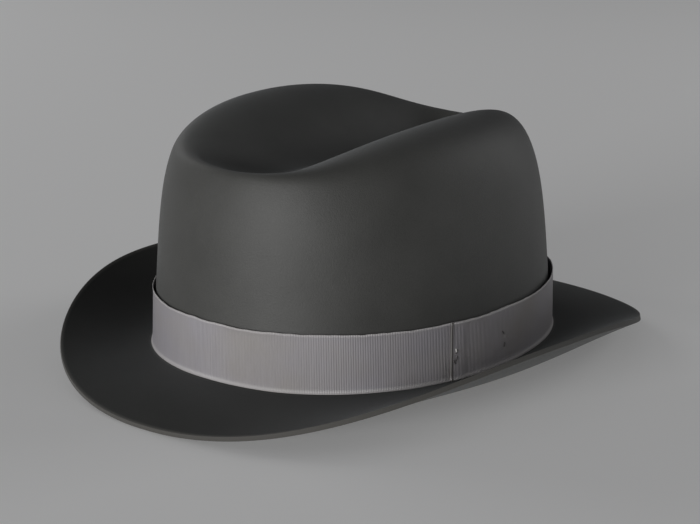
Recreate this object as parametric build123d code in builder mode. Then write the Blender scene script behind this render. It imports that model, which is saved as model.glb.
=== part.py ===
from build123d import *
import os
from math import atan2, ceil, cos, exp, pi, radians, sin

os.makedirs("parts", exist_ok=True)

# A soft felt hat with an open centre crease and a brim that is rolled up at both sides.
# Millimetres. The front of the hat faces -Y, the wearer's left is +X and up is +Z. The origin is
# on the surface that the brim stands on, under the middle of the hat.

# Felt: outside sizes at the foot of the crown, where the ribbon lies
crown_length = 206.8
crown_width = 170.4
oval_power = 2.15          # 2 is an ellipse; a hat block is a little fuller at its four corners
felt_thickness = 2.2
open_crown_height = 115.5  # crown height before the crease is pushed in
shoulder_run = 4.1         # higher powers keep the side wall up straighter
shoulder_rise = 5.8        # and the shoulder tighter
wall_lean = 0.078          # the wall leans in by this much of its size in each 100 mm
crown_pitch = 0.0367       # and moves forward by this much of its height, so it is steeper in front
crown_levels = [20, 40, 60, 78, 90, 99, 106, 111, 114]  # heights where the crown's outline is set
surface_step = 9.0         # spacing of the points that the crease and the brim are drawn through
surface_tolerance = 0.05
small_turn = 0.01          # radians, used to find the direction along an oval

# Crease, pushed down into the crown from front to back
crease_floor = 81.5        # lowest point above the foot of the crown
crease_end_rise = 11.0     # the floor climbs to the front and back lips by this much
crease_end_power = 2.5
crease_half_length = 90.0
crease_reach = 36.7        # half width of the crease at mid length
crease_flare = 13.1        # wider at the front, narrower at the back, in each 100 mm
crease_power = 1.8
crease_wall_share = 1.25   # the crease is steep, so its inner face drops by more than the thickness
lip_radius = 4.0

# Brim
brim_ratio = 1.452         # brim outline over crown outline
brim_front_trim = 0.018
brim_side_trim = 0.008
brim_curl = 1.7            # the roll is slow at the crown and quick at the edge
brim_mean_rise = 4.9       # upper edge above the foot of the crown, on average round the hat
brim_side_roll = 14.2      # the sides are this much above that, the front and back this much below
brim_corner_roll = 2.1     # the roll is a little stronger ahead of the sides than behind them
brim_end_ease = 1.4
brim_thickness = 2.3
brim_sheet_ratio = 1.6     # size of the uncut sheet over the crown
brim_points = 32

# Ribbon: one grosgrain strip, lapped and tacked on the wearer's left
ribbon_height = 26.5
ribbon_thickness = 0.5
ribbon_gap = 0.15
ribbon_lift = 0.3
ribbon_lean = 0.6
lap_start = 71.0           # degrees from the front
lap_end = 91.0
lap_bond = 0.05            # the lapped end sinks this far into the ribbon under it
tack_length = 2.0
tack_thickness = 0.5
tack_places = [(72.5, 13.5), (72.0, 8.5), (89.0, 15.0), (89.5, 9.0)]  # degrees, height on the ribbon

# Lining, sweatband and their trimmings: every inset is inward from the outside of the felt, and
# every rise is above the foot of the crown
lining_thickness = 0.35
lining_hem = 18.0
lining_turn = [(56.0, 2.6), (65.0, 7.0), (71.0, 16.0), (74.0, 31.0)]  # rise, inset
tip_inset = 30.0
tip_thickness = 0.4
tip_play = 0.2
piping_size = 1.5
piping_drop = 2.6
band_inset = 3.3
band_thickness = 1.0
band_bottom = 0.45
band_top = 45.5
seam_gap = 0.4
reed_size = 1.5
reed_bottom = -1.35
tape_thickness = 0.35
tape_play = 0.05
tape_top = 6.2
stitch_length = 3.0
stitch_count = 112
stitch_thickness = 0.4
stitch_rise = 4.0
stitch_clearance = 0.08
seam_stitch_length = 6.0
seam_stitch_angle = 28.0
seam_stitch_count = 12
lining_tack_count = 14
lining_tack_rise = 20.0
lining_tack_thickness = 0.25
bow_rise = 11.0
bow_loop_length = 10.0
bow_loop_height = 5.5
bow_thickness = 1.2
bow_knot_size = 3.2
bow_knot_corner = 0.8
bow_knot_share = 1.5       # the knot is this much thicker than the loops
bow_clearance = 1.05       # straight bow over the curved band
cord_round_share = 0.4     # corner radius of a square-cut cord, over its size

half_length = crown_length / 2
half_width = crown_width / 2
# the front and the back of the brim stand on z = 0
foot_height = brim_thickness + brim_side_roll - brim_mean_rise - brim_end_ease
# the crown stands a little forward of the brim's middle
crown_centre = -half_length * brim_front_trim


def oval_point(turn, length, width, lead=0.0):
    """Point of a hat oval; turn is 0 at the front and 90 degrees at the wearer's left."""
    across = abs(sin(turn)) ** (2 / oval_power) * (1 if sin(turn) >= 0 else -1)
    along = abs(cos(turn)) ** (2 / oval_power) * (1 if cos(turn) >= 0 else -1)
    return (width * across, crown_centre - lead - length * along)


def oval_face(height, length, width, lead=0.0, points=24):
    """Flat oval of the given half length and half width, moved forward by its lead."""
    turns = [2 * pi * i / points for i in range(points)]
    with BuildSketch(Plane.XY.offset(height), mode=Mode.PRIVATE) as oval:
        with BuildLine():
            Spline(*[oval_point(turn, length, width, lead) for turn in turns], periodic=True)
        make_face()
    return oval.sketch


def wall_scale(rise):
    """Size of the crown's oval at a height above its foot, over its size at the foot."""
    lean = 1 - wall_lean * rise / 100
    shoulder = (1 - (max(rise, 0) / open_crown_height) ** shoulder_rise) ** (1 / shoulder_run)
    return lean * shoulder


def crown_size(rise, inset):
    """Half length, half width and lead of the crown's oval, moved in from the outside of the felt."""
    scale = wall_scale(rise)
    return half_length * scale - inset, half_width * scale - inset, crown_pitch * rise


def crown_oval(rise, inset):
    """Oval face of the crown at a height above its foot."""
    return oval_face(foot_height + rise, *crown_size(rise, inset))


def crown_ring(bottom, top, inset, thickness, levels=4):
    """Band that follows the crown wall between two heights above the foot."""
    rises = [bottom + (top - bottom) * i / (levels - 1) for i in range(levels)]
    with BuildPart(mode=Mode.PRIVATE) as ring:
        loft([crown_oval(rise, inset) for rise in rises])
        loft([crown_oval(rise, inset + thickness) for rise in rises], mode=Mode.SUBTRACT)
    return ring.part


def crease_height(x, y):
    """Height of the creased top of the crown."""
    back = y - crown_centre
    floor = crease_floor + crease_end_rise * (abs(back) / crease_half_length) ** crease_end_power
    reach = crease_reach - crease_flare * back / 100
    depth = open_crown_height - floor
    return foot_height + open_crown_height - depth * exp(-((abs(x) / reach) ** crease_power))


def brim_edge_ratio(turn):
    """Brim outline over crown outline, round the hat."""
    return brim_ratio - brim_front_trim * cos(turn) + brim_side_trim * cos(2 * turn)


def brim_edge_point(turn):
    """Point of the brim's outline in plan."""
    ratio = brim_edge_ratio(turn)
    return oval_point(turn, half_length * ratio, half_width * ratio)


def brim_edge_rise(turn):
    """Height of the brim's upper edge above the foot of the crown: low in front and behind."""
    roll = brim_mean_rise - brim_side_roll * cos(2 * turn) + brim_end_ease * cos(4 * turn)
    return roll + brim_corner_roll * (cos(turn) - cos(3 * turn))


def brim_height(x, y):
    """Height of the brim's upper face."""
    across = x / half_width
    back = (y - crown_centre) / half_length
    turn = atan2(across, -back)
    size = (abs(across) ** oval_power + abs(back) ** oval_power) ** (1 / oval_power)
    out = max(size - 1, 0) / (brim_edge_ratio(turn) - 1)
    return foot_height + brim_edge_rise(turn) * out**brim_curl


def height_face(height, half_x, half_y, drop=0.0):
    """Smooth face over a rectangle, from a height formula."""
    rows = 2 * ceil(half_y / surface_step)
    columns = 2 * ceil(half_x / surface_step)
    grid = []
    for j in range(rows + 1):
        y = half_y * (2 * j / rows - 1)
        xs = [half_x * (2 * i / columns - 1) for i in range(columns + 1)]
        grid.append([(x, y, height(x, y) - drop) for x in xs])
    return Face.make_surface_from_array_of_points(grid, tol=surface_tolerance)


def creased_crown(inset, foot_rises):
    """Solid crown with its crease, moved in from the outside of the felt."""
    crease = height_face(crease_height, half_width, half_length, inset * crease_wall_share)
    with BuildPart(mode=Mode.PRIVATE) as crown:
        loft([crown_oval(rise, inset) for rise in foot_rises + crown_levels])
        extrude(crease, amount=open_crown_height, dir=(0, 0, 1), mode=Mode.SUBTRACT)
    return crown.part


def ribbon_ring(out, thickness):
    """Band of the ribbon's height, its inner face the given distance off the foot of the crown."""
    bottom = foot_height + ribbon_lift
    with BuildPart(mode=Mode.PRIVATE) as ring:
        for gap, mode in ((out + thickness, Mode.ADD), (out, Mode.SUBTRACT)):
            low = oval_face(bottom, half_length + gap, half_width + gap)
            top_gap = gap - ribbon_lean
            high = oval_face(bottom + ribbon_height, half_length + top_gap, half_width + top_gap)
            loft([low, high], mode=mode)
    return ring.part


def stitch_plane(turn, rise, inset):
    """Plane on the crown wall: X runs round the hat, Y runs up and Z points outward."""
    size = crown_size(rise, inset)
    here = Vector(*oval_point(turn, *size), foot_height + rise)
    ahead = Vector(*oval_point(turn + small_turn, *size), foot_height + rise)
    along = (ahead - here).normalized()
    return Plane(here, x_dir=along, z_dir=along.cross(Vector(0, 0, 1)))


def thread_bars(planes, length, thickness):
    """Short straight stitches, one on each plane, as separate solids."""
    with BuildPart(mode=Mode.PRIVATE) as bars:
        for plane in planes:
            with BuildSketch(plane):
                Rectangle(length, thickness)
            extrude(amount=thickness / 2, both=True)
    return bars.part


def finish(part, name):
    """Label one piece and write its file."""
    part.label = name
    export_step(part, f"parts/{name}.step")
    print(name, round(part.volume, 1), len(part.solids()))


# Brim: a sheet of felt cut to its outline, with the head opening still solid
with BuildPart() as brim_sheet:
    sheet = height_face(brim_height, half_width * brim_sheet_ratio, half_length * brim_sheet_ratio)
    extrude(sheet, amount=brim_thickness, dir=(0, 0, -1))
    edge = [brim_edge_point(2 * pi * i / brim_points) for i in range(brim_points)]
    with BuildSketch(Plane.XY):
        with BuildLine():
            Spline(*edge, periodic=True)
        make_face()
    extrude(amount=crown_length, both=True, mode=Mode.INTERSECT)

# Felt body: crown and brim are one piece of felt, blocked over a form and creased by hand
with BuildPart() as felt_body:
    add(creased_crown(0, [-felt_thickness / 2]))
    lips = felt_body.edges().filter_by(lambda edge: edge.bounding_box().min.Z > open_crown_height / 2)
    fillet(lips, lip_radius)
    add(brim_sheet.part)
    add(creased_crown(felt_thickness, [-foot_height - felt_thickness, 0]), mode=Mode.SUBTRACT)
finish(felt_body.part, "felt_body")

# Ribbon: the strip round the crown, and its folded end laid over its start
with BuildPart() as ribbon_lap:
    add(ribbon_ring(ribbon_gap + ribbon_thickness - lap_bond, ribbon_thickness + lap_bond))
    with BuildSketch(Plane.XY):
        with BuildLine():
            reach = crown_length
            corners = [(reach * sin(radians(a)), -reach * cos(radians(a))) for a in (lap_start, lap_end)]
            Polyline((0, crown_centre), *corners, close=True)
        make_face()
    extrude(amount=crown_length, mode=Mode.INTERSECT)

with BuildPart() as hat_ribbon:
    add(ribbon_ring(ribbon_gap, ribbon_thickness))
    add(ribbon_lap.part)
finish(hat_ribbon.part, "hat_ribbon")

# Ribbon tacks: hand stitches that hold the lap shut
tack_out = ribbon_gap + 2 * ribbon_thickness + tack_thickness / 2 + stitch_clearance
tack_planes = []
for degrees_round, up in tack_places:
    lean = ribbon_lean * up / ribbon_height
    size = (half_length + tack_out - lean, half_width + tack_out - lean)
    here = Vector(*oval_point(radians(degrees_round), *size), foot_height + ribbon_lift + up)
    ahead = Vector(*oval_point(radians(degrees_round) + small_turn, *size), here.Z)
    along = (ahead - here).normalized()
    tack_planes.append(Plane(here, x_dir=(0, 0, 1), z_dir=along.cross(Vector(0, 0, 1))))

with BuildPart() as ribbon_tacks:
    add(thread_bars(tack_planes, tack_length, tack_thickness))
finish(ribbon_tacks.part, "ribbon_tacks")

# Sweatband: a leather strip round the inside of the head opening, its ends meeting at the back
with BuildPart() as sweatband:
    add(crown_ring(band_bottom, band_top, band_inset, band_thickness))
    with BuildSketch(Plane.XY.offset(foot_height)):
        with Locations((0, half_length)):
            Rectangle(seam_gap, crown_width / 2)
    extrude(amount=band_top + 1, mode=Mode.SUBTRACT)
finish(sweatband.part, "sweatband")

# Reed: a springy cord that keeps the sweatband's sewn edge round
reed_inset = band_inset - reed_size / 2 + band_thickness / 2
with BuildPart() as sweatband_reed:
    add(crown_ring(reed_bottom, reed_bottom + reed_size, reed_inset, reed_size, levels=2))
    fillet(sweatband_reed.edges(), reed_size * cord_round_share)
finish(sweatband_reed.part, "sweatband_reed")

# Reed tape: folded round the reed, with a tail that rises between the felt and the leather
tape_inset = reed_inset - tape_play - tape_thickness
tape_width = reed_size + 2 * (tape_play + tape_thickness)
tape_bottom = reed_bottom - tape_play - tape_thickness
with BuildPart() as reed_tape:
    add(crown_ring(tape_bottom, tape_top, tape_inset, tape_thickness))
    add(crown_ring(tape_bottom, tape_bottom + tape_thickness, tape_inset, tape_width, levels=2))
    add(crown_ring(tape_bottom, reed_bottom + reed_size, tape_inset + tape_width - tape_thickness,
                   tape_thickness, levels=2))
finish(reed_tape.part, "reed_tape")

# Sweatband stitches: one row round the band, just above the reed
face_inset = band_inset + band_thickness + stitch_clearance + stitch_thickness / 2
stitch_turns = [2 * pi * (i + 0.5) / stitch_count for i in range(stitch_count)]
with BuildPart() as sweatband_stitches:
    add(thread_bars([stitch_plane(turn, stitch_rise, face_inset) for turn in stitch_turns],
                    stitch_length, stitch_thickness))
finish(sweatband_stitches.part, "sweatband_stitches")

# Seam stitches: a zigzag that draws the sweatband's two ends together at the back
seam_step = (band_top - bow_rise - bow_loop_height) / seam_stitch_count
seam_inset = face_inset + stitch_thickness / 2
seam_planes = []
for i in range(seam_stitch_count):
    lean = seam_stitch_angle if i % 2 else -seam_stitch_angle
    rise = bow_rise + bow_loop_height / 2 + seam_step * (i + 0.5)
    seam_planes.append(stitch_plane(pi, rise, seam_inset).rotated((0, 0, lean)))
with BuildPart() as seam_stitches:
    add(thread_bars(seam_planes, seam_stitch_length, stitch_thickness))
finish(seam_stitches.part, "seam_stitches")

# Sweatband bow: a small bow over the foot of the back seam
bow_plane = stitch_plane(pi, bow_rise, band_inset + band_thickness + bow_clearance)
with BuildPart() as sweatband_bow:
    with BuildSketch(bow_plane):
        with Locations((-bow_loop_length / 2, 0), (bow_loop_length / 2, 0)):
            Ellipse(bow_loop_length / 2, bow_loop_height / 2)
    extrude(amount=-bow_thickness)
    with BuildSketch(bow_plane):
        RectangleRounded(bow_knot_size, bow_knot_size, bow_knot_corner)
    extrude(amount=-bow_thickness * bow_knot_share)
finish(sweatband_bow.part, "sweatband_bow")

# Lining side: a satin panel that lines the crown wall and turns in to meet the tip
lining_inset = lining_turn[0][1]
last_turn = len(lining_turn) - 1
with BuildPart() as lining_side:
    for cut, mode in ((0, Mode.ADD), (lining_thickness, Mode.SUBTRACT)):
        hem = crown_oval(lining_hem, lining_inset + cut)
        turned = []
        for i, (rise, inset) in enumerate(lining_turn):
            turned.append(crown_oval(rise - cut * i / last_turn, inset + cut))
        loft([hem, turned[0]], mode=mode)
        loft(turned, mode=mode)
    add(crown_oval(lining_turn[-1][0] - 1, tip_inset))
    extrude(amount=2, mode=Mode.SUBTRACT)
finish(lining_side.part, "lining_side")

# Lining tip: the flat oval of satin under the crown's top
tip_rise = lining_turn[-1][0] - tip_thickness
with BuildPart() as lining_tip:
    add(crown_oval(tip_rise, tip_inset + tip_play))
    extrude(amount=tip_thickness)
finish(lining_tip.part, "lining_tip")

# Tip piping: a covered cord sewn round the tip's seam
with BuildPart() as tip_piping:
    piping_bottom = tip_rise - piping_drop
    piping_inset = tip_inset - piping_size / 3
    add(crown_ring(piping_bottom, piping_bottom + piping_size, piping_inset, piping_size, levels=2))
    fillet(tip_piping.edges(), piping_size * cord_round_share)
finish(tip_piping.part, "tip_piping")

# Lining tacks: stitches that catch the lining's hem, hidden by the sweatband
tack_inset = lining_inset + lining_thickness + stitch_clearance + lining_tack_thickness / 2
tack_turns = [2 * pi * (i + 0.5) / lining_tack_count for i in range(lining_tack_count)]
with BuildPart() as lining_tacks:
    add(thread_bars([stitch_plane(turn, lining_tack_rise, tack_inset) for turn in tack_turns],
                    stitch_length, lining_tack_thickness))
finish(lining_tacks.part, "lining_tacks")
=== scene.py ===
from math import atan2, cos, exp, pi, radians, sin, sqrt

import bmesh
import bpy
from mathutils import Matrix, Vector, noise


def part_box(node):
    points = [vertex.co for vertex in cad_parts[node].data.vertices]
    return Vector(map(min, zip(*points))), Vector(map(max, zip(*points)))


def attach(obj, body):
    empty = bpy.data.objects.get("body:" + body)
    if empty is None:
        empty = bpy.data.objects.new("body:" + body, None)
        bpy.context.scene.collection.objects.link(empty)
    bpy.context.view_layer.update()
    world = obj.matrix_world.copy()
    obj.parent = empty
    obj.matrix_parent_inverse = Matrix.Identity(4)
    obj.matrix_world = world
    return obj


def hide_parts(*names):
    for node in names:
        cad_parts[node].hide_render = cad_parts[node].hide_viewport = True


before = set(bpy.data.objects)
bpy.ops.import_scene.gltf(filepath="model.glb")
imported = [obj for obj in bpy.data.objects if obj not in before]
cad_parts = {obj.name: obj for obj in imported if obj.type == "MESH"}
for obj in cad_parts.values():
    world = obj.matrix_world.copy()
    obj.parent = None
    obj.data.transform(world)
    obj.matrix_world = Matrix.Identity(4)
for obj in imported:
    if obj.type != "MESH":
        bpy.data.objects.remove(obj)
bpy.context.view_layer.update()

mm = 0.001


# ---------------------------------------------------------------------------------------------
# Felt body. Crown and brim are one cone of wool felt, stretched over an oval block and steamed.
# The crease is pushed in by hand from front to back, and the brim is rolled up at both sides. Its raw
# cut edge gets a painted highlight, a paler colour where the edge catches the light.

ribbon_low, ribbon_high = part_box("hat_ribbon")
felt_low, felt_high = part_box("felt_body")
ribbon_out = 0.65 * mm        # outside of the ribbon off the felt, at its lower edge
ribbon_lift = 0.3 * mm
crown_centre = (ribbon_low.y + ribbon_high.y) / 2
half_length = (ribbon_high.y - ribbon_low.y) / 2 - ribbon_out
half_width = -ribbon_low.x - ribbon_out
foot = ribbon_low.z - ribbon_lift

oval_power = 2.15             # an ellipse is 2; a hat block is fuller at its four corners
open_crown = 117.9 * mm       # crown height before the crease is pushed in
front_lift = 2.0 * mm         # the front is higher, and the back lower, by this much
shoulder_run = 4.1            # the two powers of the curve from the top to the wall
shoulder_rise = 5.8
wall_lean = 0.78              # the wall leans in by this much of its size in each metre
crown_pitch = 0.0367          # and moves forward by this much of its height
top_run = 0.72                # the flat of the top ends at this share of the crown's size
top_end = 0.36                # share of the crown's rings that are on the flat of the top
shoulder_end = 0.62           # and the share at which the shoulder meets the wall
wall_top = 70 * mm            # the shoulder starts here
hand_wave = 0.35 * mm         # unevenness left by blocking and handling
crown_waves, brim_waves = 22, 18    # how close together the waves are, in waves a metre
wave_start = 45 * mm          # the ribbon keeps the wall even below this height

crease_depth = 36.3 * mm
crease_fall = 0.046           # the crease is deeper behind by this much of the way back
crease_arch = 0.51            # and shallower at both ends
crease_start = 89.3 * mm      # felt below this height isn't moved by the crease
crease_reach = 36.7 * mm      # half of its width at about a third of its depth
crease_flare = 0.131          # the crease is wider in front and narrower behind
crease_power = 1.8

felt_thickness = 2.2 * mm
break_radius = 1.2 * mm       # where the crown turns out into the brim
brim_curl = 1.7               # the brim rises by this power of the way out
brim_mean_rise = 4.9 * mm
brim_side_roll = 14.2 * mm    # the sides are higher, and the ends lower, by this much
brim_corner_roll = 2.1 * mm
brim_end_ease = 1.4 * mm
crown_share = 0.76            # share of the felt's rings that are on the crown
ring_crowding = 0.35          # the brim's rings lie closer together near the crown


def oval_point(turn, length, width):
    """Point of a hat oval. Turn is 0 in front and a quarter turn at the wearer's left."""
    side, front = sin(turn), cos(turn)
    across = abs(side) ** (2 / oval_power) * (1 if side >= 0 else -1)
    along = abs(front) ** (2 / oval_power) * (1 if front >= 0 else -1)
    return Vector((width * across, crown_centre - length * along, 0))


def wall_point(turn, rise, inset=0.0):
    """Point of the crown's straight wall, moved in from the outside of the felt."""
    scale = 1 - wall_lean * rise
    point = oval_point(turn, half_length * scale - inset, half_width * scale - inset)
    point.y -= crown_pitch * rise
    point.z = foot + rise
    return point


def smooth_step(low, high, value):
    """Ease from 0 at low to 1 at high."""
    share = min(max((value - low) / (high - low), 0), 1)
    return share * share * (3 - 2 * share)


def uneven(point, scale, seed):
    """Smooth unevenness from about -1 to 1, the same at the same place each time."""
    return noise.noise(point * scale + Vector((seed, 0.37 * seed, 1.7 * seed)))


def crown_profile(share):
    """Run and rise of the blocked crown, from the middle of the top to the foot."""
    if share < top_end:
        run = top_run * share / top_end
        return run, (1 - run**shoulder_run) ** (1 / shoulder_rise)
    high = atan2(sqrt(1 - top_run**shoulder_run), top_run ** (shoulder_run / 2))
    low = atan2((wall_top / open_crown) ** (shoulder_rise / 2), 1)
    if share < shoulder_end:
        angle = high + (low - high) * (share - top_end) / (shoulder_end - top_end)
        return cos(angle) ** (2 / shoulder_run), sin(angle) ** (2 / shoulder_rise)
    start = sin(low) ** (2 / shoulder_rise)
    end = break_radius / open_crown
    rise = start + (end - start) * (share - shoulder_end) / (1 - shoulder_end)
    return (1 - rise**shoulder_rise) ** (1 / shoulder_run), rise


def crown_place(turn, share):
    """Point of the crown's outside."""
    run, rise = crown_profile(share)
    lifted = open_crown + front_lift * cos(turn) * sin(pi / 2 * min(run / top_run, 1))
    height = lifted * rise
    scale = run * (1 - wall_lean * height)
    point = oval_point(turn, half_length * scale, half_width * scale)
    point.y -= crown_pitch * height
    back = point.y - crown_centre
    depth = crease_depth + crease_fall * back - crease_arch * back * back
    reach = crease_reach - crease_flare * back
    pushed = smooth_step(crease_start, lifted, height)
    crease = depth * exp(-((abs(point.x) / reach) ** crease_power)) * pushed
    point.z = foot + height - crease
    wave = hand_wave * uneven(point, crown_waves, 3) * smooth_step(0, wave_start, height)
    point.x *= 1 + wave / half_width
    point.y += wave * point.y / half_length
    return point


front_ratio = (crown_centre - felt_low.y) / half_length
back_ratio = (felt_high.y - crown_centre) / half_length
side_ratio = felt_high.x / half_width


def brim_ratio(turn):
    """Brim outline over crown outline, round the hat."""
    ends = (front_ratio + back_ratio) / 2
    mean, sides = (ends + side_ratio) / 2, (ends - side_ratio) / 2
    return mean + (front_ratio - back_ratio) / 2 * cos(turn) + sides * cos(2 * turn)


def brim_rise(turn):
    """Height of the brim's upper edge above the crown's foot."""
    roll = brim_mean_rise - brim_side_roll * cos(2 * turn) + brim_end_ease * cos(4 * turn)
    return roll + brim_corner_roll * (cos(turn) - cos(3 * turn))


def brim_place(turn, share):
    """Point of the brim's upper face, from the crown's foot to the cut edge."""
    out = ring_crowding * share * share + (1 - ring_crowding) * share
    ratio = 1 + (brim_ratio(turn) - 1) * out
    point = oval_point(turn, half_length * ratio, half_width * ratio)
    run = (point - oval_point(turn, half_length, half_width)).length
    turn_up = 0
    if run < break_radius:
        turn_up = break_radius - sqrt(break_radius**2 - (break_radius - run) ** 2)
    point.z = foot + brim_rise(turn) * out**brim_curl + turn_up
    point.z += hand_wave * uneven(point, brim_waves, 5) * smooth_step(0.2, 0.8, out)
    return point


def felt_place(around, out):
    """Point of the felt's outer face. Around goes round the hat, out from the top to the brim's edge."""
    turn = 2 * pi * around
    if out <= crown_share:
        return crown_place(turn, out / crown_share)
    return brim_place(turn, (out - crown_share) / (1 - crown_share))


def wrap_cloth(shape, columns, rows, place):
    """Add a flat cloth of squares to a mesh, wrapped to the shape that place gives.

    Its attributes around and out keep where each point was on the flat cloth, from 0 to 1."""
    layers = shape.verts.layers.float
    around = layers.get("around") or layers.new("around")
    out = layers.get("out") or layers.new("out")
    made = bmesh.ops.create_grid(shape, x_segments=columns, y_segments=rows, size=0.5)
    for vert in made["verts"]:
        vert[around], vert[out] = vert.co.x + 0.5, vert.co.y + 0.5
        vert.co = place(vert[around], vert[out])


def mesh_object(name, shape):
    """Close a mesh's seams and poles, turn its faces outwards and make it an object."""
    bmesh.ops.remove_doubles(shape, verts=shape.verts, dist=1e-6)
    bmesh.ops.recalc_face_normals(shape, faces=shape.faces)
    mesh = bpy.data.meshes.new(name)
    shape.to_mesh(mesh)
    shape.free()
    mesh.shade_smooth()
    made = bpy.data.objects.new(name, mesh)
    bpy.context.scene.collection.objects.link(made)
    return made


def cloth_object(name, columns, rows, place):
    """A sheet of cloth as an object of its own."""
    shape = bmesh.new()
    wrap_cloth(shape, columns, rows, place)
    return mesh_object(name, shape)


def thicken(piece, thickness, offset=-1.0, round_edge=0.0):
    """Give a sheet its thickness, and round its cut edge."""
    wall = piece.modifiers.new("thickness", "SOLIDIFY")
    wall.thickness = thickness
    wall.offset = offset
    wall.use_even_offset = True
    if round_edge:
        edge = piece.modifiers.new("cut_edge", "BEVEL")
        edge.width = round_edge
        edge.segments = 3
        edge.limit_method = "ANGLE"
        edge.angle_limit = radians(50)


def node_links(tree):
    """Short ways to add a node and join two sockets in one tree."""

    def add(kind, **values):
        node = tree.nodes.new(kind)
        for key, value in values.items():
            if hasattr(node, key):
                setattr(node, key, value)
            else:
                node.inputs[key.replace("_", " ")].default_value = value
        return node

    def join(source, target):
        tree.links.new(source, target)

    return add, join


def new_material(name):
    """Empty material with its shader, and the ways to add to it."""
    material = bpy.data.materials.new(name)
    material.use_nodes = True
    shader = material.node_tree.nodes["Principled BSDF"]
    add, join = node_links(material.node_tree)
    return material, shader, add, join


def new_group(name, numbers, colours):
    """Empty node group with a Color and a Height output, and the ways to add to it."""
    tree = bpy.data.node_groups.new(name, "ShaderNodeTree")
    for label, value in numbers.items():
        socket = tree.interface.new_socket(label, in_out="INPUT", socket_type="NodeSocketFloat")
        socket.default_value = value
    for label in colours:
        tree.interface.new_socket(label, in_out="INPUT", socket_type="NodeSocketColor")
    tree.interface.new_socket("Color", in_out="OUTPUT", socket_type="NodeSocketColor")
    tree.interface.new_socket("Height", in_out="OUTPUT", socket_type="NodeSocketFloat")
    add, join = node_links(tree)
    return tree, add("NodeGroupInput"), add("NodeGroupOutput"), add, join


def use_group(add, tree, **values):
    """Place a node group in a material with its own values."""
    group = add("ShaderNodeGroup", node_tree=tree)
    for key, value in values.items():
        group.inputs[key.replace("_", " ")].default_value = value
    return group


def add_bump(add, join, height, shader, depth, strength=1.0):
    """Join a height to a shader's normal."""
    bump = add("ShaderNodeBump", Strength=strength, Distance=depth)
    join(height, bump.inputs["Height"])
    join(bump.outputs["Normal"], shader.inputs["Normal"])


def nap_group():
    """Fibres of felt and cloth: mottled colour and a fine height, on Object coordinates."""
    numbers = {"Fibre Scale": 1500.0, "Mottle Scale": 60.0, "Contrast": 0.5}
    tree, given, made, add, join = new_group("fibre_nap", numbers, ("Dark", "Light"))
    place = add("ShaderNodeTexCoord")
    fibre = add("ShaderNodeTexNoise", Detail=5.0, Roughness=0.7)
    mottle = add("ShaderNodeTexNoise", Detail=4.0, Roughness=0.55)
    for texture, scale in ((fibre, "Fibre Scale"), (mottle, "Mottle Scale")):
        join(place.outputs["Object"], texture.inputs["Vector"])
        join(given.outputs[scale], texture.inputs["Scale"])
    blend = add("ShaderNodeMix", data_type="FLOAT")
    blend.inputs[0].default_value = 0.45
    join(fibre.outputs["Fac"], blend.inputs[2])
    join(mottle.outputs["Fac"], blend.inputs[3])
    stretch = add("ShaderNodeMapRange")
    stretch.inputs["From Min"].default_value = 0.3
    stretch.inputs["From Max"].default_value = 0.7
    join(blend.outputs[0], stretch.inputs["Value"])
    half = add("ShaderNodeMix", data_type="FLOAT")
    half.inputs[2].default_value = 0.5
    join(given.outputs["Contrast"], half.inputs[0])
    join(stretch.outputs["Result"], half.inputs[3])
    colour = add("ShaderNodeMix", data_type="RGBA")
    join(half.outputs[0], colour.inputs[0])
    join(given.outputs["Dark"], colour.inputs[6])
    join(given.outputs["Light"], colour.inputs[7])
    join(colour.outputs[2], made.inputs["Color"])
    join(fibre.outputs["Fac"], made.inputs["Height"])
    return tree


fibre_nap = nap_group()


crown_gloss = 0.55            # of every side of the felt but the brim's upper one


def felt_finish(name, brim_shade, brim_gloss):
    """Charcoal felt: brushed and mottled, with a painted highlight at the cut edge. The brim's upper
    side gets painted shade and less gloss than the crown, to balance how strongly the lights strike it."""
    material, shader, add, join = new_material(name)
    nap = use_group(add, fibre_nap, Fibre_Scale=1400, Mottle_Scale=45, Contrast=0.75,
                    Dark=(0.034, 0.034, 0.0315, 1), Light=(0.064, 0.064, 0.060, 1))
    out = add("ShaderNodeAttribute", attribute_name="out")
    on_brim = add("ShaderNodeMapRange")
    on_brim.inputs["From Min"].default_value = crown_share
    on_brim.inputs["From Max"].default_value = crown_share + 0.02
    join(out.outputs["Fac"], on_brim.inputs["Value"])
    # Painted shade: the brim's upper side is multiplied darker by brim_shade.
    brim_painted_shade = add("ShaderNodeMix", data_type="RGBA", blend_type="MULTIPLY")
    brim_painted_shade.inputs[7].default_value = (brim_shade, brim_shade, 0.97 * brim_shade, 1)
    join(on_brim.outputs["Result"], brim_painted_shade.inputs[0])
    join(nap.outputs["Color"], brim_painted_shade.inputs[6])
    # Painted highlight: the cut edge is mixed to a paler colour where it catches the light.
    edge = add("ShaderNodeAttribute", attribute_name="cut_edge")
    paler_edge = add("ShaderNodeMix", data_type="RGBA")
    paler_edge.inputs[7].default_value = (0.088, 0.085, 0.079, 1)
    join(edge.outputs["Fac"], paler_edge.inputs[0])
    join(brim_painted_shade.outputs[2], paler_edge.inputs[6])
    join(paler_edge.outputs[2], shader.inputs["Base Color"])
    add_bump(add, join, nap.outputs["Height"], shader, 0.25 * mm, 0.55)
    gloss = add("ShaderNodeMapRange")
    gloss.inputs["To Min"].default_value = crown_gloss
    gloss.inputs["To Max"].default_value = brim_gloss
    join(on_brim.outputs["Result"], gloss.inputs["Value"])
    join(gloss.outputs["Result"], shader.inputs["Specular IOR Level"])
    shader.inputs["Roughness"].default_value = 0.56
    shader.inputs["Sheen Weight"].default_value = 0.12
    shader.inputs["Sheen Roughness"].default_value = 0.45
    shader.inputs["Sheen Tint"].default_value = (0.75, 0.78, 0.80, 1)
    return material


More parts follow.
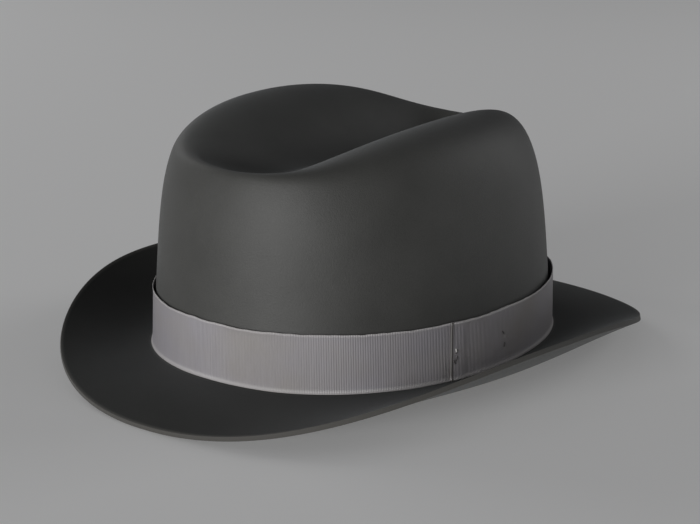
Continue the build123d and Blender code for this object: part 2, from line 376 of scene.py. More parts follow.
felt = cloth_object("blocked_felt", 240, 150, felt_place)
# The cut_edge attribute marks the rim for the painted highlight on the cut edge.
cut_edge = felt.data.attributes.new("cut_edge", "FLOAT", "POINT")
out_values = [point.value for point in felt.data.attributes["out"].data]
for index, out in enumerate(out_values):
    cut_edge.data[index].value = smooth_step(0.994, 1.0, out)
thicken(felt, felt_thickness, round_edge=0.7 * mm)
felt.modifiers["thickness"].material_offset = 1
# The outer felt gets painted shade on the brim's upper side; the inside felt is not shaded.
felt.data.materials.append(felt_finish("charcoal_felt", brim_shade=0.42, brim_gloss=0.12))
felt.data.materials.append(felt_finish("charcoal_felt_inside", brim_shade=1.0, brim_gloss=crown_gloss))
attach(felt, "root")
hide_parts("felt_body")


# ---------------------------------------------------------------------------------------------
# Lining side. A strip of satin, sewn into a ring, that lines the crown wall. Its hem is tacked
# behind the sweatband and its upper edge is drawn up in small gathers round the tip.

lining_low, lining_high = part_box("lining_side")
lining_thickness = 0.35 * mm
lining_inset = 2.6 * mm
lining_hem = lining_low.z - foot
lining_bend = 56 * mm         # the strip turns in above this height
lining_top = lining_high.z - foot
tip_inset = 31 * mm           # the strip reaches in this far at its top
gather_count = 46
gather_depth = 1.7 * mm
gather_start, gather_full = 47 * mm, 66 * mm    # heights between which the gathers deepen
gather_held = 0.55            # the tip's seam holds the gathers down by this much
lining_slack = 0.5 * mm
slack_full = 52 * mm
lining_wall_share = 0.5       # share of the strip's height that lies on the wall


def gathers(turn):
    """Uneven little folds round the hat, from 0 to 1."""
    wander = 2.6 * sin(5 * turn) + 1.7 * sin(3 * turn + 1) + 0.9 * sin(11 * turn + 2)
    return (0.5 + 0.5 * sin(gather_count * turn + wander)) ** 1.4


def lining_place(around, out):
    """Point of the side lining, from its hem up to the tip."""
    turn = 2 * pi * around
    if out < lining_wall_share:
        rise = lining_hem + (lining_bend - lining_hem) * out / lining_wall_share
        inset, bend = lining_inset, 0
    else:
        bend = pi / 2 * (out - lining_wall_share) / (1 - lining_wall_share)
        rise = lining_bend + (lining_top - lining_bend) * sin(bend)
        inset = tip_inset - (tip_inset - lining_inset) * cos(bend)
    slack = gather_depth * gathers(turn) * smooth_step(gather_start, gather_full, rise)
    ease = 0.5 + 0.5 * uneven(wall_point(turn, rise), 60, 9)
    slack += lining_slack * ease * smooth_step(gather_start, slack_full, rise)
    slack *= 1 - gather_held * smooth_step(0.9, 1.0, out)
    return wall_point(turn, rise - slack * sin(bend), inset + slack * cos(bend))


def weave_group():
    """Woven cloth: ribs along one way, threads along the other, and streaks of uneven dye.

    It reads the attributes around and out, and the cloth's own length and width in metres."""
    numbers = {"Length": 0.6, "Width": 0.026, "Rib Pitch": 0.00075, "Thread Pitch": 0.0003,
               "Plain": 0.0, "Streaks": 0.5}
    tree, given, made, add, join = new_group("woven_cloth", numbers, ("Dark", "Light"))

    def calculate(operation, first, second=None):
        node = add("ShaderNodeMath", operation=operation)
        for socket, value in zip(node.inputs, (first, second)):
            if isinstance(value, (int, float)):
                socket.default_value = value
            elif value is not None:
                join(value, socket)
        return node.outputs[0]

    along = add("ShaderNodeAttribute", attribute_name="around").outputs["Fac"]
    across = add("ShaderNodeAttribute", attribute_name="out").outputs["Fac"]
    along = calculate("MULTIPLY", along, given.outputs["Length"])
    across = calculate("MULTIPLY", across, given.outputs["Width"])
    waves = []
    for distance, pitch in ((along, "Rib Pitch"), (across, "Thread Pitch")):
        phase = calculate("MULTIPLY", calculate("DIVIDE", distance, given.outputs[pitch]), 2 * pi)
        waves.append(calculate("SINE", phase))
    checks = calculate("MULTIPLY", *waves)
    height = add("ShaderNodeMix", data_type="FLOAT")
    join(given.outputs["Plain"], height.inputs[0])
    join(waves[0], height.inputs[2])
    join(checks, height.inputs[3])
    streak_place = add("ShaderNodeCombineXYZ")
    join(calculate("MULTIPLY", along, 900), streak_place.inputs["X"])
    join(calculate("MULTIPLY", across, 45), streak_place.inputs["Y"])
    streak = add("ShaderNodeTexNoise", Scale=1.0, Detail=3.0, Roughness=0.6)
    join(streak_place.outputs[0], streak.inputs["Vector"])
    uneven_dye = calculate("SUBTRACT", streak.outputs["Fac"], 0.5)
    uneven_dye = calculate("MULTIPLY", uneven_dye, given.outputs["Streaks"])
    raised = calculate("MULTIPLY", height.outputs[0], 0.12)
    shade = calculate("ADD", raised, calculate("MULTIPLY", uneven_dye, 2.2))
    shade = calculate("ADD", shade, 0.5)
    colour = add("ShaderNodeMix", data_type="RGBA")
    join(shade, colour.inputs[0])
    join(given.outputs["Dark"], colour.inputs[6])
    join(given.outputs["Light"], colour.inputs[7])
    join(colour.outputs[2], made.inputs["Color"])
    join(height.outputs[0], made.inputs["Height"])
    return tree


woven_cloth = weave_group()


def cloth_finish(name, weave, roughness, sheen, bump_depth):
    """Woven cloth with its own weave, gloss and sheen."""
    material, shader, add, join = new_material(name)
    cloth = use_group(add, woven_cloth, **weave)
    join(cloth.outputs["Color"], shader.inputs["Base Color"])
    add_bump(add, join, cloth.outputs["Height"], shader, bump_depth)
    shader.inputs["Roughness"].default_value = roughness
    shader.inputs["Specular IOR Level"].default_value = 0.35
    shader.inputs["Sheen Weight"].default_value = sheen
    shader.inputs["Sheen Roughness"].default_value = 0.35
    return material


lining_length = 600 * mm
lining_height = 80 * mm
satin_dark, satin_light = (0.29, 0.265, 0.225, 1), (0.40, 0.37, 0.32, 1)
lining = cloth_object("gathered_lining", 520, 40, lining_place)
thicken(lining, lining_thickness)
lining.data.materials.append(cloth_finish(
    "ivory_satin", {"Length": lining_length, "Width": lining_height, "Rib_Pitch": 0.35 * mm,
                    "Thread_Pitch": 1.6 * mm, "Plain": 0.6, "Streaks": 0.35,
                    "Dark": satin_dark, "Light": satin_light}, 0.34, 0.15, 0.03 * mm))
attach(lining, "root")
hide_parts("lining_side")


# ---------------------------------------------------------------------------------------------
# Lining tip. An oval of the same satin, sewn to the gathered edge of the side strip. It hangs
# a little slack under the crown's top.

tip_low, tip_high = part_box("lining_tip")
tip_centre = (tip_low.y + tip_high.y) / 2
tip_sag = 1.6 * mm
tip_pucker = 0.35 * mm
tip_slack = 0.5 * mm
tip_half_length = (tip_high.y - tip_low.y) / 2
tip_half_width = tip_high.x


def tip_place(around, out):
    """Point of the tip, from its middle out to its seam."""
    point = oval_point(2 * pi * around, tip_half_length * out, tip_half_width * out)
    point.y += tip_centre - crown_centre
    pucker = tip_pucker * gathers(2 * pi * around) * smooth_step(0.75, 0.97, out)
    slack = tip_slack * uneven(point, 45, 13) * smooth_step(1.0, 0.8, out)
    point.z = tip_high.z - tip_sag * (1 - out * out) - pucker + slack
    return point


tip = cloth_object("lining_tip_oval", 160, 36, tip_place)
thicken(tip, tip_high.z - tip_low.z)
tip.data.materials.append(cloth_finish(
    "ivory_satin_tip", {"Length": 0.36, "Width": tip_half_length, "Rib_Pitch": 0.35 * mm,
                        "Thread_Pitch": 1.6 * mm, "Plain": 0.6, "Streaks": 0.2,
                        "Dark": satin_dark, "Light": satin_light}, 0.34, 0.15, 0.02 * mm))
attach(tip, "root")
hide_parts("lining_tip")


# ---------------------------------------------------------------------------------------------
# Tip piping. A twisted cord sewn round the tip's seam, which covers the stitches.

piping_low, piping_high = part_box("tip_piping")
piping_radius = (piping_high.z - piping_low.z) / 2
piping_middle = (piping_low.z + piping_high.z) / 2
piping_centre = (piping_low.y + piping_high.y) / 2
piping_half_length = (piping_high.y - piping_low.y) / 2 - piping_radius
piping_half_width = piping_high.x - piping_radius
piping_strands = 3
piping_twists = 84
strand_groove = 0.22          # depth of the groove between strands, over the cord's radius


def cord_place(around, out):
    """Point of a twisted cord that runs round the tip."""
    turn, spin = 2 * pi * around, 2 * pi * out
    ridge = abs(cos(piping_strands * (spin - piping_twists * turn / piping_strands) / 2))
    radius = piping_radius * (1 - strand_groove + strand_groove * ridge)
    reach = radius * cos(spin)
    point = oval_point(turn, piping_half_length + reach, piping_half_width + reach)
    point.y += piping_centre - crown_centre
    point.z = piping_middle + radius * sin(spin)
    return point


def thread_finish(name, dark, light):
    """Spun thread or cord: matt, with fine fibres."""
    material, shader, add, join = new_material(name)
    nap = use_group(add, fibre_nap, Fibre_Scale=5000, Mottle_Scale=300, Contrast=0.8,
                    Dark=dark, Light=light)
    join(nap.outputs["Color"], shader.inputs["Base Color"])
    add_bump(add, join, nap.outputs["Height"], shader, 0.05 * mm, 0.6)
    shader.inputs["Roughness"].default_value = 0.7
    shader.inputs["Sheen Weight"].default_value = 0.1
    return material


piping = cloth_object("twisted_piping", 1000, 12, cord_place)
piping.data.materials.append(thread_finish("piping_cord", (0.20, 0.17, 0.13, 1), (0.34, 0.30, 0.24, 1)))
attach(piping, "root")
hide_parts("tip_piping")


# ---------------------------------------------------------------------------------------------
# Lining tacks. A few running stitches of waxed thread that catch the lining's hem. The sweatband
# hides them.

tack_rise = 20 * mm
tack_inset = lining_inset + lining_thickness + 0.12 * mm
lining_tack_count = 14
lining_tack_length = 3.0 * mm
lining_tack_size = 0.22 * mm


def wall_frame(turn, rise, inset, tilt=0.0):
    """Place on the crown wall: X runs round the hat, Y up the wall and Z outward."""
    here = wall_point(turn, rise, inset)
    along = (wall_point(turn + 0.01, rise, inset) - here).normalized()
    upward = (wall_point(turn, rise + mm, inset) - here).normalized()
    outward = along.cross(upward).normalized()
    upward = outward.cross(along)
    turned = Matrix((along, upward, outward)).transposed().to_4x4()
    return Matrix.Translation(here) @ turned @ Matrix.Rotation(radians(tilt), 4, "Z")


def add_stitch(shape, place, length, size, dip=0.0):
    """One stitch: a short round thread along X, whose ends dip into what it holds."""
    made = bmesh.ops.create_uvsphere(shape, u_segments=8, v_segments=6, radius=0.5)
    for vert in made["verts"]:
        run, side, up = vert.co.z * 2, vert.co.x * size, vert.co.y * size
        swell = 1 + 0.45 * run * run
        vert.co = place @ Vector((run * length / 2, side * swell, up * swell + dip * run * run))


def stitch_object(name, places, length, size, dip=0.0):
    """A row of stitches as one object."""
    shape = bmesh.new()
    for place in places:
        add_stitch(shape, place, length, size, dip)
    return mesh_object(name, shape)


waxed_thread = thread_finish("waxed_thread", (0.30, 0.22, 0.13, 1), (0.46, 0.36, 0.24, 1))
tack_turns = [2 * pi * (i + 0.5) / lining_tack_count for i in range(lining_tack_count)]
tacks = stitch_object("lining_hem_tacks", [wall_frame(turn, tack_rise, tack_inset) for turn in tack_turns],
                      lining_tack_length, lining_tack_size)
tacks.data.materials.append(waxed_thread)
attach(tacks, "root")
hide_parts("lining_tacks")


# ---------------------------------------------------------------------------------------------
# Reed. A springy round cord along the sweatband's lower edge, which keeps the head opening round.

reed_low, reed_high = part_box("sweatband_reed")
reed_radius = (reed_high.z - reed_low.z) / 2
reed_rise = (reed_low.z + reed_high.z) / 2 - foot
reed_inset = half_width - reed_high.x + reed_radius


def reed_place(around, out):
    """Point of the round reed."""
    spin = 2 * pi * out
    rise = reed_rise + reed_radius * sin(spin)
    return wall_point(2 * pi * around, rise, reed_inset - reed_radius * cos(spin))


reed = cloth_object("round_reed", 240, 12, reed_place)
reed.data.materials.append(thread_finish("cane_reed", (0.42, 0.36, 0.26, 1), (0.55, 0.49, 0.38, 1)))
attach(reed, "root")
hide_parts("sweatband_reed")


# ---------------------------------------------------------------------------------------------
# Reed tape. A cotton tape folded under the reed. Its tail rises between the felt and the leather
# and is sewn to both, so the tape carries the whole sweatband.

tape_thickness = 0.35 * mm
tape_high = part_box("reed_tape")[1]
tape_radius = reed_radius + 0.05 * mm + tape_thickness / 2
tape_tail = tape_high.z - foot - reed_rise    # the part that stands between felt and leather
tape_lip = reed_radius
tape_bend = pi * tape_radius
tape_width = tape_tail + tape_bend + tape_lip
tape_length = 585 * mm
tape_gap = 0.003              # half of the gap between the tape's ends, in radians


def tape_place(around, out):
    """Point of the tape, from the top of its tail, down and round the reed, to its inner lip."""
    turn = pi + tape_gap + around * (2 * pi - 2 * tape_gap)
    distance = out * tape_width
    if distance < tape_tail:
        return wall_point(turn, reed_rise + tape_tail - distance, reed_inset - tape_radius)
    if distance < tape_tail + tape_bend:
        spin = (distance - tape_tail) / tape_radius
        return wall_point(turn, reed_rise - tape_radius * sin(spin), reed_inset - tape_radius * cos(spin))
    return wall_point(turn, reed_rise + distance - tape_tail - tape_bend, reed_inset + tape_radius)


tape = cloth_object("folded_reed_tape", 240, 26, tape_place)
thicken(tape, tape_thickness, offset=0.0)
tape.data.materials.append(cloth_finish(
    "cotton_tape", {"Length": tape_length, "Width": tape_width, "Rib_Pitch": 0.5 * mm,
                    "Thread_Pitch": 0.5 * mm, "Plain": 1.0, "Streaks": 0.25,
                    "Dark": (0.030, 0.026, 0.022, 1), "Light": (0.062, 0.055, 0.047, 1)},
    0.85, 0.1, 0.08 * mm))
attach(tape, "root")
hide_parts("reed_tape")


# ---------------------------------------------------------------------------------------------
# Sweatband. A strip of brown leather, sewn to the reed tape along its lower edge and free along
# its rounded upper edge, where it stands a little off the lining. Its ends meet at the back.

band_inset = 3.3 * mm
band_thickness = 1.0 * mm
band_low, band_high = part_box("sweatband")
band_bottom = band_low.z - foot
band_height = band_high.z - band_low.z
band_stand, band_wave = 0.75 * mm, 0.6 * mm    # how far the free edge leaves the wall
band_belly = 0.25 * mm
band_free = 0.55              # the band is free of the lining above this share of its height
seam_turn = 0.0025            # half of the gap between the band's ends, in radians


def band_place(around, out):
    """Point of the band's outer face, which leaves the wall a little towards its free edge."""
    turn = pi + seam_turn + around * (2 * pi - 2 * seam_turn)
    rise = band_bottom + band_height * out
    here = wall_point(turn, rise)
    loose = smooth_step(band_free, 1.0, out) * (band_stand + band_wave * uneven(here, 26, 17))
    belly = band_belly * sin(pi * out) * uneven(here, 18, 21)
    return wall_point(turn, rise, band_inset + max(loose + belly, 0))


def leather_finish():
    """Brown leather: fine grain, darker pores, and a rubbed upper edge."""
    material, shader, add, join = new_material("brown_leather")
    place = add("ShaderNodeTexCoord")
    grain = add("ShaderNodeTexVoronoi", feature="DISTANCE_TO_EDGE", Scale=900.0)
    stain = add("ShaderNodeTexNoise", Scale=38.0, Detail=6.0, Roughness=0.6)
    crease = add("ShaderNodeTexNoise", Scale=260.0, Detail=4.0, Roughness=0.65)
    for texture in (grain, stain, crease):
        join(place.outputs["Object"], texture.inputs["Vector"])
    tone = add("ShaderNodeValToRGB")
    tone.color_ramp.elements[0].position = 0.34
    tone.color_ramp.elements[0].color = (0.052, 0.022, 0.010, 1)
    tone.color_ramp.elements[1].position = 0.68
    tone.color_ramp.elements[1].color = (0.125, 0.058, 0.026, 1)
    join(stain.outputs["Fac"], tone.inputs["Fac"])
    rubbed = add("ShaderNodeMapRange")
    rubbed.inputs["From Min"].default_value = 0.965
    rubbed.inputs["From Max"].default_value = 1.0
    rubbed.inputs["To Max"].default_value = 0.7
    out = add("ShaderNodeAttribute", attribute_name="out")
    join(out.outputs["Fac"], rubbed.inputs["Value"])
    paler_edge = add("ShaderNodeMix", data_type="RGBA")
    paler_edge.inputs[7].default_value = (0.235, 0.140, 0.075, 1)
    join(rubbed.outputs["Result"], paler_edge.inputs[0])
    join(tone.outputs["Color"], paler_edge.inputs[6])
    join(paler_edge.outputs[2], shader.inputs["Base Color"])
    gloss = add("ShaderNodeMapRange")
    gloss.inputs["To Min"].default_value = 0.36
    gloss.inputs["To Max"].default_value = 0.58
    join(crease.outputs["Fac"], gloss.inputs["Value"])
    join(gloss.outputs["Result"], shader.inputs["Roughness"])
    pores = add("ShaderNodeMapRange")
    pores.inputs["From Max"].default_value = 0.12
    join(grain.outputs["Distance"], pores.inputs["Value"])
    height = add("ShaderNodeMix", data_type="FLOAT")
    height.inputs[0].default_value = 0.5
    join(pores.outputs["Result"], height.inputs[2])
    join(crease.outputs["Fac"], height.inputs[3])
    add_bump(add, join, height.outputs[0], shader, 0.12 * mm, 0.7)
    shader.inputs["Specular IOR Level"].default_value = 0.45
    return material


band = cloth_object("leather_sweatband", 300, 48, band_place)
thicken(band, band_thickness, round_edge=0.38 * mm)
band.data.materials.append(leather_finish())
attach(band, "root")
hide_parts("sweatband")


# ---------------------------------------------------------------------------------------------
# Sweatband stitches. One row of waxed thread round the band, just above the reed, that sews the
# leather to the tape and to the felt.

stitch_count = 112
stitch_rise = 4.0 * mm
stitch_length = 3.3 * mm
stitch_size = 0.45 * mm
stitch_stand = 0.12 * mm
band_face = band_inset + band_thickness
stitch_turns = [2 * pi * (i + 0.5) / stitch_count for i in range(stitch_count)]
stitches = stitch_object(
    "sweatband_thread", [wall_frame(turn, stitch_rise, band_face + stitch_stand) for turn in stitch_turns],
    stitch_length, stitch_size, dip=0.2 * mm)
stitches.data.materials.append(waxed_thread)
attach(stitches, "root")
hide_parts("sweatband_stitches")


# ---------------------------------------------------------------------------------------------
# Seam stitches. A zigzag of the same thread that draws the band's two ends together.

seam_count = 12
seam_tilt = 28.0              # slant of each stitch in degrees
seam_length = 6.0 * mm
seam_stand, seam_lift = 0.15 * mm, 0.8 * mm
seam_bottom, seam_top = 14.0 * mm, 44.0 * mm
seam_places = []
for i in range(seam_count):
    rise = seam_bottom + (seam_top - seam_bottom) * (i + 0.5) / seam_count
    stand = seam_stand + seam_lift * smooth_step(band_free, 1.0, rise / band_height)
    seam_places.append(wall_frame(pi, rise, band_face + stand, seam_tilt if i % 2 else -seam_tilt))
seam = stitch_object("back_seam_thread", seam_places, seam_length, stitch_size, dip=0.15 * mm)
seam.data.materials.append(waxed_thread)
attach(seam, "root")
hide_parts("seam_stitches")


# ---------------------------------------------------------------------------------------------
# Sweatband bow. A narrow ribbon tied in a small flat bow over the foot of the back seam. It marks
# the back of the hat for the wearer.

bow_rise = 11.0 * mm
bow_width = 4.6 * mm
bow_place = wall_frame(pi, bow_rise, band_face + 1.0 * mm) @ Matrix.Rotation(pi, 4, "Y")
bow_loop = 10.0 * mm
bow_depth = 1.1 * mm
loop_pinch = 0.45             # width of the ribbon where it enters the knot
loop_droop = 0.06
bow_tail, bow_slant = 9.5 * mm, 1.6 * mm
tail_droop = radians(38)
knot_width = 3.2 * mm
knot_half_high, knot_half_deep = 1.9 * mm, 1.35 * mm


def loop_place(side):
    """A teardrop of ribbon that leaves the knot and comes back to it."""

    def place(around, out):
        spin = 2 * pi * around
        run = bow_loop * (1 - cos(spin)) / 2
        pinch = loop_pinch + (1 - loop_pinch) * smooth_step(0, 0.55 * bow_loop, run)
        depth = bow_depth * (1 + sin(spin) * sin(spin / 2)) + 0.5 * mm * run / bow_loop
        height = (out - 0.5) * bow_width * pinch - side * loop_droop * run
        return bow_place @ Vector((side * run, height, depth))

    return place


def tail_place(side):
    """A short end that hangs from the knot, cut at a slant."""

    def place(around, out):
        run = around * (bow_tail + bow_slant * out)
        height = (out - 0.5) * bow_width * (0.5 + 0.4 * around)
        sideways = run * cos(tail_droop) - height * sin(tail_droop)
        down = run * sin(tail_droop) + height * cos(tail_droop)
        curl = 0.35 * mm + 0.3 * mm * sin(3 * around)
        return bow_place @ Vector((side * sideways, -down, curl))

    return place


def knot_place(around, out):
    """The ribbon's turn round the middle of the bow."""
    spin = 2 * pi * around
    bulge = 1 + 0.12 * sin(pi * out)
    return bow_place @ Vector(((out - 0.5) * knot_width, knot_half_high * cos(spin) * bulge,
                               bow_depth + knot_half_deep * sin(spin) * bulge))


bow_shape = bmesh.new()
for side in (-1, 1):
    wrap_cloth(bow_shape, 40, 8, loop_place(side))
    wrap_cloth(bow_shape, 14, 8, tail_place(side))
wrap_cloth(bow_shape, 24, 8, knot_place)
bow = mesh_object("back_bow", bow_shape)
thicken(bow, 0.25 * mm, offset=0.0)
bow.data.materials.append(cloth_finish(
    "bow_ribbon", {"Length": 30 * mm, "Width": bow_width, "Rib_Pitch": 0.5 * mm,
                   "Thread_Pitch": 0.4 * mm, "Plain": 0.0, "Streaks": 0.3,
                   "Dark": (0.018, 0.016, 0.015, 1), "Light": (0.045, 0.040, 0.037, 1)},
    0.55, 0.15, 0.05 * mm))
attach(bow, "root")
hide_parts("sweatband_bow")


# ---------------------------------------------------------------------------------------------
# Ribbon. One strip of pale grey grosgrain round the foot of the crown. Its end is turned under
# and laid over its start on the wearer's left. The lower selvedge stands out a little on the brim.

ribbon_height = ribbon_high.z - ribbon_low.z
ribbon_thickness = 0.36 * mm
ribbon_gap = 0.2 * mm
ribbon_lean = 0.6 * mm        # its upper edge is nearer to the felt by this much
ribbon_flare = 0.55 * mm      # its lower edge stands out by this much
ribbon_buckle = 0.16 * mm
upper_stand = 0.3 * mm
layer_step = ribbon_thickness + 0.04 * mm
lap_start, lap_end = 71.0, 91.0        # degrees from the front
fold_degrees = 3.4                     # length of the end that is turned under
lap_degrees = lap_end - lap_start
strip_degrees = 360 + lap_degrees + fold_degrees
ribbon_length = 652 * mm
climb_start, climb_end = 352, 359    # degrees along the strip where it climbs onto its own start
fold_climb = 2.5                     # degrees in which it climbs onto the part turned under
edge_wander, fine_wander = 0.35 * mm, 0.25 * mm
lower_wander = 0.15 * mm


def ribbon_place(around, out):
    """Point of the strip, from its start under the lap to its turned-under end."""
    travel = around * strip_degrees
    past_fold = travel - 360 - lap_degrees
    turn = radians(lap_start + past_fold if past_fold > 0 else lap_end - travel)
    layer = smooth_step(climb_start, climb_end, travel)
    fold_under = 360 + lap_degrees - fold_degrees
    layer += smooth_step(fold_under - fold_climb, fold_under, travel)
    if past_fold > 0:
        layer = 1
    rise = ribbon_height * out
    here = oval_point(turn, half_length, half_width) + Vector((0, 0, foot + rise))
    stand = ribbon_gap + ribbon_thickness / 2 + layer_step * layer - ribbon_lean * out
    if past_fold <= 0:
        flare = ribbon_flare * max(1 - out / 0.10, 0) ** 2
        buckle = ribbon_buckle * uneven(here, 55, 25) * (0.4 + 0.6 * abs(2 * out - 1))
        stand += flare + buckle
        stand += upper_stand * smooth_step(0.9, 1.0, out) * (0.5 + uneven(here, 30, 29))
    point = oval_point(turn, half_length + stand, half_width + stand)
    wander = edge_wander * uneven(here, 70, 31) + fine_wander * uneven(here, 240, 35)
    edge_shift = wander * smooth_step(0.8, 1.0, out)
    edge_shift += lower_wander * uneven(here, 45, 39) * smooth_step(0.1, 0.0, out)
    point.z = foot + ribbon_lift + rise + edge_shift
    return point


def grosgrain_finish():
    """Pale grey ribbed ribbon, paler along both selvedges, a little yellowed, and dark at its fold."""
    material, shader, add, join = new_material("pale_grosgrain")
    cloth = use_group(add, woven_cloth, Length=ribbon_length, Width=ribbon_height, Rib_Pitch=0.8 * mm,
                      Thread_Pitch=0.3 * mm, Plain=0.12, Streaks=0.38,
                      Dark=(0.240, 0.228, 0.248, 1), Light=(0.365, 0.348, 0.372, 1))
    place = add("ShaderNodeTexCoord")
    soil = add("ShaderNodeTexNoise", Scale=26.0, Detail=4.0, Roughness=0.55)
    join(place.outputs["Object"], soil.inputs["Vector"])
    soiled = add("ShaderNodeMapRange")
    soiled.inputs["From Min"].default_value = 0.42
    soiled.inputs["From Max"].default_value = 0.75
    soiled.inputs["To Max"].default_value = 0.6
    join(soil.outputs["Fac"], soiled.inputs["Value"])
    aged = add("ShaderNodeMix", data_type="RGBA")
    aged.inputs[7].default_value = (0.290, 0.268, 0.240, 1)
    join(soiled.outputs["Result"], aged.inputs[0])
    join(cloth.outputs["Color"], aged.inputs[6])
    out = add("ShaderNodeAttribute", attribute_name="out")
    selvedge = add("ShaderNodeValToRGB")
    bright, plain = (1, 1, 1, 1), (0, 0, 0, 1)
    stops = selvedge.color_ramp.elements
    stops[0].position, stops[0].color = 0.035, bright
    stops[1].position, stops[1].color = 0.075, plain
    for position, colour in ((0.955, plain), (0.985, bright)):
        stop = stops.new(position)
        stop.color = colour
    join(out.outputs["Fac"], selvedge.inputs["Fac"])
    soft = add("ShaderNodeMath", operation="MULTIPLY")
    soft.inputs[1].default_value = 0.65
    join(selvedge.outputs["Color"], soft.inputs[0])
    edged = add("ShaderNodeMix", data_type="RGBA")
    edged.inputs[7].default_value = (0.52, 0.50, 0.495, 1)
    join(soft.outputs[0], edged.inputs[0])
    join(aged.outputs[2], edged.inputs[6])
    # Darker colour in a narrow band along the fold where the end turns under.
    along = add("ShaderNodeAttribute", attribute_name="around")
    fold_band = add("ShaderNodeMapRange")
    fold_band.inputs["From Min"].default_value = (360 + lap_degrees - 0.9) / strip_degrees
    fold_band.inputs["From Max"].default_value = (360 + lap_degrees - 0.3) / strip_degrees
    fold_band.inputs["To Max"].default_value = 0.92
    join(along.outputs["Fac"], fold_band.inputs["Value"])
    fold_darkened = add("ShaderNodeMix", data_type="RGBA")
    fold_darkened.inputs[7].default_value = (0.060, 0.055, 0.050, 1)
    join(fold_band.outputs["Result"], fold_darkened.inputs[0])
    join(edged.outputs[2], fold_darkened.inputs[6])
    join(fold_darkened.outputs[2], shader.inputs["Base Color"])
    add_bump(add, join, cloth.outputs["Height"], shader, 0.10 * mm, 0.8)
    shader.inputs["Roughness"].default_value = 0.46
    shader.inputs["Specular IOR Level"].default_value = 0.75
    shader.inputs["Sheen Weight"].default_value = 0.1
    shader.inputs["Sheen Roughness"].default_value = 0.4
    return material


ribbon = cloth_object("grosgrain_ribbon", 900, 28, ribbon_place)
thicken(ribbon, ribbon_thickness, offset=0.0)
ribbon.data.materials.append(grosgrain_finish())
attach(ribbon, "root")
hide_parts("hat_ribbon")


# ---------------------------------------------------------------------------------------------
# Ribbon tacks. Hand stitches that hold the lap: a crossed pair of pale thread, the others dark.

tack_size = 0.6 * mm
tack_length = 2.6 * mm


def ribbon_frame(degrees_round, up, stand):
    """Place on the ribbon's lap: X runs up, Z outward."""
    turn = radians(degrees_round)
    here = oval_point(turn, half_length + stand, half_width + stand)
    along = (oval_point(turn + 0.01, half_length + stand, half_width + stand) - here).normalized()
    here.z = foot + ribbon_lift + up
    turned = Matrix((Vector((0, 0, 1)), -along, along.cross(Vector((0, 0, 1))))).transposed().to_4x4()
    return Matrix.Translation(here) @ turned


def tack_finish():
    """Sewing thread whose shade is kept on each stitch."""
    material, shader, add, join = new_material("ribbon_thread")
    shade = add("ShaderNodeAttribute", attribute_name="shade")
    nap = use_group(add, fibre_nap, Fibre_Scale=5000, Mottle_Scale=300, Contrast=0.5,
                    Dark=(0.50, 0.49, 0.46, 1), Light=(0.68, 0.67, 0.64, 1))
    colour = add("ShaderNodeMix", data_type="RGBA")
    colour.inputs[6].default_value = (0.06, 0.055, 0.055, 1)
    join(shade.outputs["Fac"], colour.inputs[0])
    join(nap.outputs["Color"], colour.inputs[7])
    join(colour.outputs[2], shader.inputs["Base Color"])
    add_bump(add, join, nap.outputs["Height"], shader, 0.05 * mm, 0.6)
    shader.inputs["Roughness"].default_value = 0.7
    return material


tack_shape = bmesh.new()
shade_layer = tack_shape.verts.layers.float.new("shade")
fold_stand = ribbon_gap + 3 * layer_step + 0.05 * mm
lap_stand = ribbon_gap + 2 * layer_step + 0.05 * mm
# Degrees round the hat, height in mm, slant in degrees, and 1 for the pale thread.
tack_list = [(72.5, 13.5, 12, 1), (72.6, 13.0, -35, 1),
             (72.0, 8.5, 30, 0), (72.6, 10.0, -20, 0),
             (89.0, 15.0, 40, 0), (89.5, 9.0, -15, 0)]
for degrees_round, up, slant, pale in tack_list:
    lean_in = ribbon_lean * up * mm / ribbon_height
    stand = (fold_stand if degrees_round < lap_start + fold_degrees else lap_stand) - lean_in
    spot = ribbon_frame(degrees_round, up * mm, stand) @ Matrix.Rotation(radians(slant), 4, "Z")
    before = len(tack_shape.verts)
    add_stitch(tack_shape, spot, tack_length, tack_size, dip=-0.15 * mm)
    tack_shape.verts.ensure_lookup_table()
    for vert in tack_shape.verts[before:]:
        vert[shade_layer] = pale
ribbon_tacks = mesh_object("ribbon_lap_tacks", tack_shape)
ribbon_tacks.data.materials.append(tack_finish())
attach(ribbon_tacks, "root")
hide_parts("ribbon_tacks")


# ---------------------------------------------------------------------------------------------
# Floor, lights and camera.

floor_size = 6.0
floor_glow = 0.12             # a pale light table
floor_mesh = bmesh.new()
bmesh.ops.create_grid(floor_mesh, x_segments=1, y_segments=1, size=floor_size / 2)
floor = mesh_object("studio_floor", floor_mesh)
floor_paint, floor_shader, _, _ = new_material("pale_floor")
floor_shader.inputs["Base Color"].default_value = (0.80, 0.80, 0.80, 1)
floor_shader.inputs["Emission Color"].default_value = (1.0, 1.0, 1.0, 1)
floor_shader.inputs["Emission Strength"].default_value = floor_glow
floor_shader.inputs["Roughness"].default_value = 0.9
floor.data.materials.append(floor_paint)

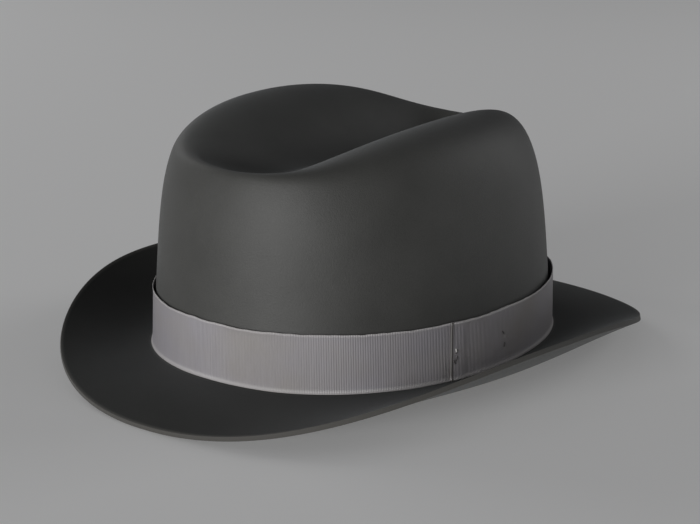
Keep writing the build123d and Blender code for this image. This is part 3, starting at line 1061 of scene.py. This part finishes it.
world = bpy.data.worlds.new("studio")
world.use_nodes = True
world.node_tree.nodes["Background"].inputs["Color"].default_value = (0.75, 0.76, 0.78, 1)
world.node_tree.nodes["Background"].inputs["Strength"].default_value = 0.10
bpy.context.scene.world = world
bpy.context.scene.view_settings.view_transform = "Standard"


def from_angle(azimuth, elevation, distance, centre):
    """Place at a distance from a centre, and the way back from the centre to it."""
    a, e = radians(azimuth), radians(elevation)
    back = Vector((sin(a) * cos(e), -cos(a) * cos(e), sin(e)))
    return centre + back * distance, back


middle = Vector((0, crown_centre, foot + 45 * mm))


def soft_light(name, azimuth, elevation, distance, size, power):
    """A rectangular soft box of the given width and height, aimed at the hat."""
    lamp = bpy.data.lights.new(name, "AREA")
    lamp.shape = "RECTANGLE"
    lamp.size, lamp.size_y = size
    lamp.energy = power
    made = bpy.data.objects.new(name, lamp)
    made.location, back = from_angle(azimuth, elevation, distance, middle)
    made.rotation_euler = back.to_track_quat("Z", "Y").to_euler()
    made.visible_camera = False
    bpy.context.scene.collection.objects.link(made)


# The two front boxes stand low and far off, so that they light the sides more than the top.
soft_light("key", -2, 6, 3.60, (1.30, 0.60), 66.0)
soft_light("front_wide", 21, 6, 3.60, (1.50, 0.60), 25.0)
soft_light("left_fill", 150, 20, 1.80, (0.90, 0.90), 5.0)
soft_light("right_fill", 265, 24, 1.80, (0.90, 0.90), 3.6)

camera_azimuth = 38.0
camera_elevation = 15.8
camera_distance = 946.4 * mm
camera_roll = 0.86
camera_aim = Vector((0, crown_centre - 5.5 * mm, foot + 33.0 * mm))
camera_lens = 102.9

seen_from, back = from_angle(camera_azimuth, camera_elevation, camera_distance, camera_aim)
right = Vector((cos(radians(camera_azimuth)), sin(radians(camera_azimuth)), 0))
up = back.cross(right)
tilt = radians(camera_roll)
across, upright = right * cos(tilt) + up * sin(tilt), up * cos(tilt) - right * sin(tilt)
camera = bpy.data.objects.new("camera", bpy.data.cameras.new("camera"))
camera.data.lens = camera_lens
camera.matrix_world = Matrix.Translation(seen_from) @ Matrix((across, upright, back)).transposed().to_4x4()
bpy.context.scene.collection.objects.link(camera)
bpy.context.scene.camera = camera
